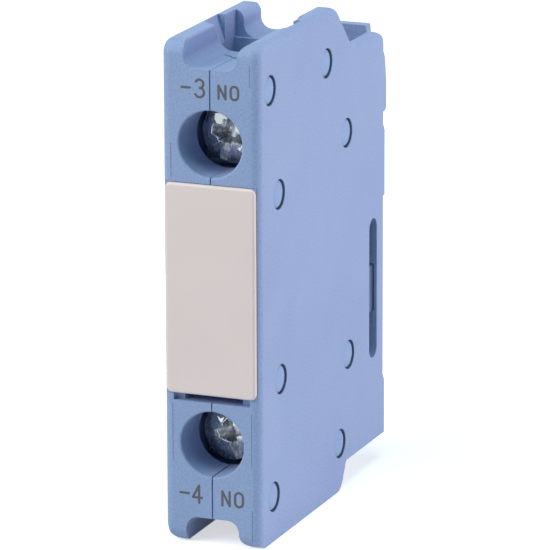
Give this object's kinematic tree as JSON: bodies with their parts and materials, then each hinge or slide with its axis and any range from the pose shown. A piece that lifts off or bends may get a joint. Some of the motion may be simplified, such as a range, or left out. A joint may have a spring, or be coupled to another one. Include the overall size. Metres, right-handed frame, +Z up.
{
  "type": "auxiliary contact block",
  "caption": "Slim clip-on auxiliary contact block with two screw terminals, a sprung contact carrier, wire funnels and a blank snap-in label plate.",
  "frame": {"origin": "middle of the bounding box's floor, level with the two lower legs on which the block stands", "axes": "+Z up the long side; the label and the screws face -Y, the side that seats on the contactor faces +Y; X is the narrow width, with the shells' seam at X = 0"},
  "size_m": [0.01, 0.0348, 0.0496],
  "materials": {
    "housing": "fine spark-eroded grain",
    "label": "satin",
    "carrier": "satin",
    "zinc_steel": "zinc plated",
    "brass": "stamped",
    "silver": "contact silver",
    "spring_steel": "drawn wire"
  },
  "bodies": {
    "housing": {"left_housing": "housing", "right_housing": "housing", "label_plate": "label", "return_spring": "spring_steel", "upper_terminal": "brass", "lower_terminal": "brass", "upper_fixed_tip": "silver", "lower_fixed_tip": "silver", "upper_terminal_nut": "zinc_steel", "lower_terminal_nut": "zinc_steel"},
    "carrier": {"contact_carrier": "carrier", "contact_spring": "spring_steel"},
    "bridge": {"contact_bridge": "brass", "spring_cap": "zinc_steel", "upper_bridge_tip": "silver", "lower_bridge_tip": "silver"},
    "upper_clamp": {"upper_clamp_washer": "zinc_steel", "upper_lock_washer": "zinc_steel"},
    "upper_screw": {"upper_terminal_screw": "zinc_steel"},
    "lower_clamp": {"lower_clamp_washer": "zinc_steel", "lower_lock_washer": "zinc_steel"},
    "lower_screw": {"lower_terminal_screw": "zinc_steel"}
  },
  "joints": [
    {"name": "carrier_slide", "type": "slide", "parent": "housing", "child": "carrier", "axis": [0, 1, 0], "range_m": [0, 0.0044], "stiffness_N_per_m": 150, "springref_m": -0.003, "deforming": ["return_spring", "contact_spring"]},
    {"name": "bridge_slide", "type": "slide", "parent": "carrier", "child": "bridge", "axis": [0, 1, 0], "range_m": [-0.0015, 0]},
    {"name": "upper_clamp_slide", "type": "slide", "parent": "housing", "child": "upper_clamp", "axis": [0, 1, 0], "range_m": [0, 0.0024]},
    {"name": "upper_screw_turn", "type": "hinge", "parent": "upper_clamp", "child": "upper_screw", "pos_m": [0, -0.01, 0.03975], "axis": [0, 1, 0], "range_deg": [0, 1440]},
    {"name": "lower_clamp_slide", "type": "slide", "parent": "housing", "child": "lower_clamp", "axis": [0, 1, 0], "range_m": [0, 0.0024]},
    {"name": "lower_screw_turn", "type": "hinge", "parent": "lower_clamp", "child": "lower_screw", "pos_m": [0, -0.01, 0.01015], "axis": [0, 1, 0], "range_deg": [0, 1440]}
  ],
  "couplings": [
    {"joint": "bridge_slide", "follows": "carrier_slide", "ratio": -0.33333},
    {"joint": "upper_screw_turn", "follows": "upper_clamp_slide", "rad_per_m": 10472},
    {"joint": "lower_screw_turn", "follows": "lower_clamp_slide", "rad_per_m": 10472}
  ]
}
